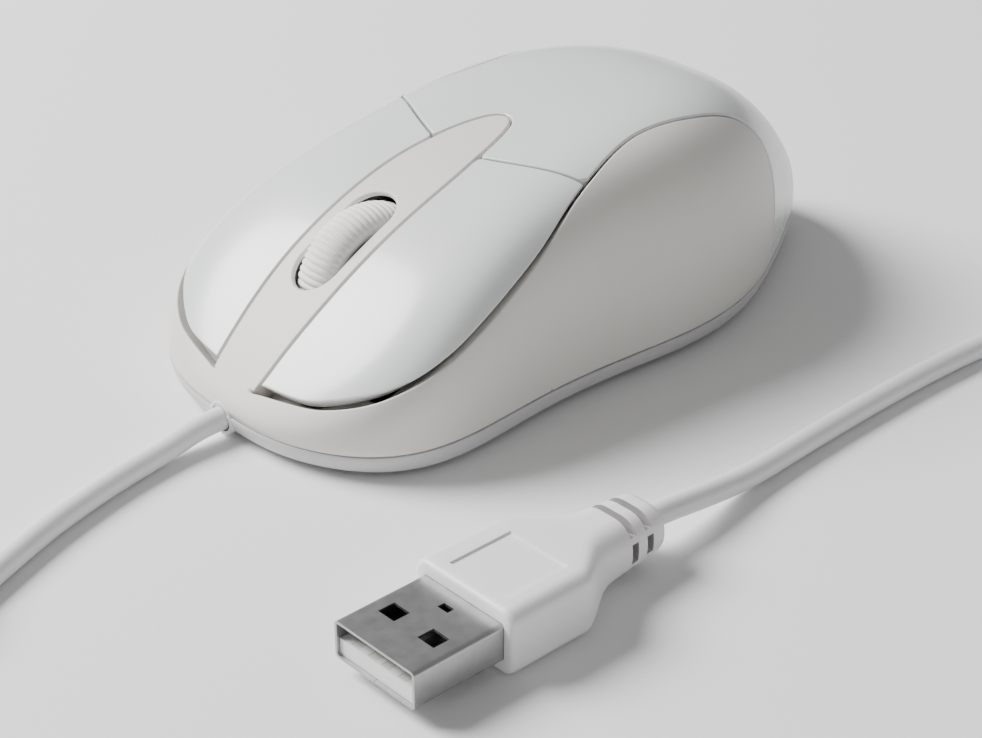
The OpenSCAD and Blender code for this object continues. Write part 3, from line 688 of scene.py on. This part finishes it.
WHEEL_AT = (0.0, NOSE + 22.1, 13.0)
RIBS, PER_RIB = 70, 8
TYRE_R, TYRE_HALF, FLANK_R = 9.62, 2.8, 7.4
RIB_DEPTH, SEAT_R, INNER_R = 0.36, 8.25, 7.2
profile = [(SEAT_R, -2.3, 0), (INNER_R, -2.35, 0), (INNER_R, -2.75, 0)]
for a in np.radians(np.linspace(-90, 90, 17)):
    c = max(0.0, math.cos(a))
    profile.append((FLANK_R + (TYRE_R - FLANK_R) * c ** 0.75, TYRE_HALF * math.sin(a), c ** 0.35))
profile += [(INNER_R, 2.75, 0), (INNER_R, 2.35, 0), (SEAT_R, 2.3, 0)]
turns = RIBS * PER_RIB
points, faces = [], []
for i in range(turns):
    a = 2 * math.pi * i / turns
    valley = 1 - abs(math.sin(math.pi * i / PER_RIB)) ** 0.6
    for r, x, k in profile:
        r -= RIB_DEPTH * k * valley
        points.append((WHEEL_AT[0] + x, WHEEL_AT[1] + r * math.cos(a), WHEEL_AT[2] + r * math.sin(a)))
width = len(profile)
for i in range(turns):
    for j in range(width):
        a, b = i * width, (i + 1) % turns * width
        faces.append((a + j, b + j, b + (j + 1) % width, a + (j + 1) % width))
tyre = add_mesh("scroll_tyre_ribbed", points, faces, TYRE)
tyre.data.set_sharp_from_angle(angle=math.radians(60))
own(tyre, "wheel", "wheel_rubber", "scroll_tyre")

# ---------------------------------------------------------------- cord's collar

EXIT_Z = 2.5


def ring_about_cord(name, profile, mat, slot, count=64):
    """A ring around the cord's exit from (radius, y) points."""
    points, faces = [], []
    for i in range(count):
        a = 2 * math.pi * i / count
        points += [(r * math.cos(a), y, EXIT_Z + r * math.sin(a)) for r, y in profile]
    n = len(profile)
    for i in range(count):
        for j in range(n):
            a, b = i * n, (i + 1) % count * n
            faces.append((a + j, a + (j + 1) % n, b + (j + 1) % n, b + j))
    ring = add_mesh(name, points, faces, mat)
    facing_out(ring)
    ring.data.set_sharp_from_angle(angle=math.radians(50))
    return own(ring, "chassis", slot, "cord_gland")


def facing_out(obj):
    """Turns the faces of a closed mesh outward."""
    mesh = bmesh.new()
    mesh.from_mesh(obj.data)
    bmesh.ops.recalc_face_normals(mesh, faces=mesh.faces)
    mesh.to_mesh(obj.data)
    mesh.free()


ring_about_cord("cord_collar", [(1.72, -44.6), (1.72, -45.9), (1.8, -46.02), (1.92, -46.05), (2.04, -46.0),
                                (2.1, -45.9), (2.1, -44.6)], CORD, "cord_vinyl")
# A dark ring inside the collar's mouth: painted shade of the recess around the cord.
ring_about_cord("cord_collar_recess_shade", [(1.42, -44.8), (1.42, -45.8), (1.71, -45.8), (1.71, -44.8)], DARK,
                "cord_vinyl")

# ---------------------------------------------------------------- plug

PLUG_AT, PLUG_YAW = (49.9, -63.0, 4.0), math.radians(1.5)
FULL_SECTION = (14.6, 7.8, 1.6)
RECESS_LEFT, RECESS_RIGHT, RECESS_EDGE = -0.66, 0.8, 0.02
TOP_SHARES = (-1, RECESS_LEFT - RECESS_EDGE, RECESS_LEFT, -0.3, 0.1, 0.45, RECESS_RIGHT,
              RECESS_RIGHT + RECESS_EDGE, 1)
RECESS_FROM, RECESS_TO, RECESS_DEPTH, RECESS_SLOPE = 13.4, 21.6, 0.24, 0.12
RELIEF_FROM, RELIEF_GROOVES, GROOVE_SHARE = 30.2, (32.4, 34.8), 0.6
MOUTH_SHADE_FROM, MOUTH_SHADE_TO = 1.2, 2.5
# Painted shade: the tongue and its contacts darken from the plug's mouth inward, where the shell's shadow
# falls.
for mat in (TONGUE, BRASS):
    paint_shade_inward(mat, (PLUG_AT[1] + MOUTH_SHADE_FROM) * MM, (PLUG_AT[1] + MOUTH_SHADE_TO) * MM, (0.03, 0.03, 0.03))


def plug_place(s, t, h):
    """A point from its distance across, from the mouth and above the plug's axis."""
    c, sn = math.cos(PLUG_YAW), math.sin(PLUG_YAW)
    return (PLUG_AT[0] + s * c - t * sn, PLUG_AT[1] + s * sn + t * c, PLUG_AT[2] + h)


def section(w, h, r):
    """Outline of a rounded rectangle; the first points run along its top."""
    flat, side = w / 2 - r, h / 2 - r
    out = [(v * flat, h / 2) for v in TOP_SHARES]
    for turn, end in ((90, [(w / 2, v * side) for v in (1, 0.3, -0.3, -1)]),
                      (0, [(v * flat, -h / 2) for v in (1, 0.4, -0.4, -1)]),
                      (-90, [(-w / 2, v * side) for v in (-1, -0.3, 0.3, 1)]), (-180, [])):
        sx, sy = (1, 1, -1, -1)[(90 - turn) // 90], (1, -1, -1, 1)[(90 - turn) // 90]
        for k in range(1, 6):
            a = math.radians(turn - 15 * k)
            out.append((sx * flat + r * math.cos(a), sy * side + r * math.sin(a)))
        out += end
    return out


def loft(rings):
    """A closed mesh over rings of equal length, with a face on each end."""
    n = len(rings[0])
    points = [p for ring in rings for p in ring]
    faces = [(i * n + j, i * n + (j + 1) % n, (i + 1) * n + (j + 1) % n, (i + 1) * n + j)
             for i in range(len(rings) - 1) for j in range(n)]
    return points, faces + [tuple(range(n)), tuple(range(len(points) - n, len(points)))]


# Each station is its distance from the mouth, width, height and corner radius; a fifth value marks a groove
stations = [(15.4, 12.1, 4.6, 0.6), (11.62, 12.1, 4.6, 0.6), (11.6, 13.5, 6.7, 1.1),
            (11.68, 14.0, 7.2, 1.35), (11.95, 14.42, 7.62, 1.5)]
stations += [(t, *FULL_SECTION) for t in (12.4, RECESS_FROM - RECESS_SLOPE, RECESS_FROM, 17.5, RECESS_TO,
                                          RECESS_TO + RECESS_SLOPE, 22.3)]
stations += [(22.9, 14.3, 7.78, 1.7), (24.0, 13.2, 7.6, 2.0), (25.4, 11.4, 7.35, 2.3),
             (26.8, 9.7, 7.1, 2.6), (28.4, 8.5, 6.9, 2.8), (RELIEF_FROM, 8.0, 6.7, 2.8)]
for middle in RELIEF_GROOVES:
    for step, cut in ((-0.5, 0), (-0.44, 1), (0.44, 1), (0.5, 0)):
        t = middle + step
        k = (t - RELIEF_FROM) / 7
        stations.append((t, 8.0 - k, 6.7 - 0.8 * k, 2.8 - 0.2 * k, cut))
stations += [(36.6, 7.05, 5.95, 2.6), (37.2, 6.7, 5.6, 2.5), (37.5, 6.1, 5.0, 2.3), (37.6, 5.2, 4.2, 2.0),
             (37.6, 2.9, 2.9, 1.44), (34.0, 2.9, 2.9, 1.44)]
rings, groove_shade_mask = [], []
for t, w, h, r, *cut in stations:
    ring = section(w, h, r)
    if RECESS_FROM <= t <= RECESS_TO and (w, h, r) == FULL_SECTION:
        low, high = (share * (w / 2 - r) for share in (RECESS_LEFT - 0.001, RECESS_RIGHT + 0.001))
        ring = [(x, y - RECESS_DEPTH) if y > h / 2 - 0.01 and low < x < high else (x, y) for x, y in ring]
    if cut and cut[0]:
        web = [0.2 * abs(x) < abs(y) < 0.6 * abs(x) for x, y in ring]
        ring = [(x, y) if full else (x * GROOVE_SHARE, y * GROOVE_SHARE) for full, (x, y) in zip(web, ring)]
    else:
        web = [True] * len(ring)
    groove_shade_mask.append([not full for full in web])
    rings.append([plug_place(x, t, y) for x, y in ring])
mould = add_mesh("plug_overmould_moulded", *loft(rings), PLUG_WHITE)
# The groove faces take the darker copy: painted shade in the relief's grooves.
mould.data.materials.append(GROOVE_SHADE)
across_ring = len(rings[0])
for i in range(len(rings) - 1):
    for j in range(across_ring):
        k = (j + 1) % across_ring
        if groove_shade_mask[i][j] or groove_shade_mask[i][k] or groove_shade_mask[i + 1][j] or groove_shade_mask[i + 1][k]:
            mould.data.polygons[i * across_ring + j].material_index = 1
facing_out(mould)
mould.data.set_sharp_from_angle(angle=math.radians(38))
own(mould, "chassis", "plug_vinyl", "plug_overmould")

# Steel shell: a wall of even thickness with two latch windows and a small slot in its top
SHELL_W, SHELL_H, SHELL_WALL, SHELL_R, SHELL_L = 12.0, 4.5, 0.32, 0.55, 15.4
LATCH_FROM, LATCH_TO, LATCH_SPAN = 1.75, 4.15, (4.1, 6.2)
TAB_HALF, TAB_SPAN = 0.75, (8.9, 9.8)
flat, side = SHELL_W / 2 - SHELL_R, SHELL_H / 2 - SHELL_R
outline = [((x, -SHELL_H / 2), (0, -1)) for x in (0.03, 2.5, flat)]
for sx, sy, turn in ((1, -1, -90), (1, 1, 0), (-1, 1, 90), (-1, -1, 180)):
    for k in range(1, 5):
        a = math.radians(turn + 18 * k)
        n = (math.cos(a), math.sin(a))
        outline.append(((sx * flat + SHELL_R * n[0], sy * side + SHELL_R * n[1]), n))
    if turn == -90:
        outline += [((SHELL_W / 2, v * side), (1, 0)) for v in (-1, 0, 1)]
    elif turn == 0:
        half = (flat, LATCH_TO, LATCH_FROM, TAB_HALF)
        outline += [((x, SHELL_H / 2), (0, 1)) for x in half + tuple(-x for x in half[::-1])]
    elif turn == 90:
        outline += [((-SHELL_W / 2, v * side), (-1, 0)) for v in (1, 0, -1)]
outline += [((x, -SHELL_H / 2), (0, -1)) for x in (-flat, -2.5, -0.03)]
lengths = (0, *LATCH_SPAN, *TAB_SPAN, SHELL_L)
holes = ((LATCH_FROM, LATCH_TO, *LATCH_SPAN), (-LATCH_TO, -LATCH_FROM, *LATCH_SPAN),
         (-TAB_HALF, TAB_HALF, *TAB_SPAN))
points, faces = [], []
for deep in (0.0, SHELL_WALL):
    for t in lengths:
        points += [plug_place(x - n[0] * deep, t, y - n[1] * deep) for (x, y), n in outline]
n, m = len(outline), len(lengths)
inner = n * m


def open_cell(i, j):
    """Whether the wall is missing in the cell after length i and outline point j."""
    if not (0 <= i < m - 1 and 0 <= j < n - 1):
        return True
    x = (outline[j][0][0] + outline[j + 1][0][0]) / 2
    t = (lengths[i] + lengths[i + 1]) / 2
    return outline[j][1][1] == outline[j + 1][1][1] == 1 and any(
        a < x < b and c < t < d for a, b, c, d in holes)


for i in range(m - 1):
    for j in range(n - 1):
        if open_cell(i, j):
            continue
        a, b, c, d = i * n + j, i * n + j + 1, (i + 1) * n + j + 1, (i + 1) * n + j
        faces += [(a, b, c, d), (a + inner, d + inner, c + inner, b + inner)]
        for gone, p, q in ((open_cell(i - 1, j), a, b), (open_cell(i, j + 1), b, c),
                           (open_cell(i + 1, j), c, d), (open_cell(i, j - 1), d, a)):
            if gone:
                faces.append((q, p, p + inner, q + inner))
shell = add_mesh("plug_shell_folded", points, faces, STEEL)
facing_out(shell)
shell.data.set_sharp_from_angle(angle=math.radians(30))
own(shell, "chassis", "plug_steel", "plug_shell")

# ---------------------------------------------------------------- finish of the carried-over CAD nodes

FINISH = {
    "front_glide_foot": PAD, "rear_glide_foot": PAD, "rating_label": FILM, "case_screw": STEEL,
    "scroll_hub": TYRE, "wheel_cradle": DARK, "cradle_pin": STEEL, "cradle_spring": STEEL,
    "wheel_emitter": CLEAR, "wheel_detector": DARK, "left_switch_body": DARK, "right_switch_body": DARK,
    "left_switch_plunger": RED, "right_switch_plunger": RED, "middle_switch_body": DARK,
    "middle_switch_plunger": DARK, "circuit_board": BOARD, "board_screws": STEEL, "sensor_chip": DARK,
    "sensor_lens": CLEAR, "sensor_led": RED_CLEAR, "led_clip": DARK, "wire_header": HEADER,
    "inner_wires": WIRES, "capacitor": SLEEVE, "resonator": AMBER, "chip_resistors": DARK,
    "plug_tongue": TONGUE, "plug_contacts": BRASS}
for name, mat in FINISH.items():
    paint(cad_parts[name], mat)

# ---------------------------------------------------------------- stage

floor_mesh = bpy.data.meshes.new("floor")
floor_mesh.from_pydata([(-6, -6, 0), (6, -6, 0), (6, 6, 0), (-6, 6, 0)], [], [(0, 1, 2, 3)])
floor = bpy.data.objects.new("floor", floor_mesh)
bpy.context.collection.objects.link(floor)
paint(floor, surface("floor_white", (0.92, 0.92, 0.92), (0.94, 0.94, 0.94), rough=(0.6, 0.7), patch=3.0))

world = bpy.data.worlds.new("studio")
bpy.context.scene.world = world
world.use_nodes = True
world.node_tree.nodes["Background"].inputs["Color"].default_value = (1.0, 1.0, 1.0, 1.0)
world.node_tree.nodes["Background"].inputs["Strength"].default_value = 0.3


def light(name, place, aim, power, size):
    lamp = bpy.data.lights.new(name, "AREA")
    lamp.energy = power
    lamp.shape = "DISK"
    lamp.size = size
    obj = bpy.data.objects.new(name, lamp)
    bpy.context.collection.objects.link(obj)
    obj.location = place
    obj.rotation_euler = (Vector(aim) - Vector(place)).to_track_quat("-Z", "Y").to_euler()


light("key_light", (-0.65, -0.40, 0.68), (0.02, -0.02, 0.0), 24.0, 0.6)
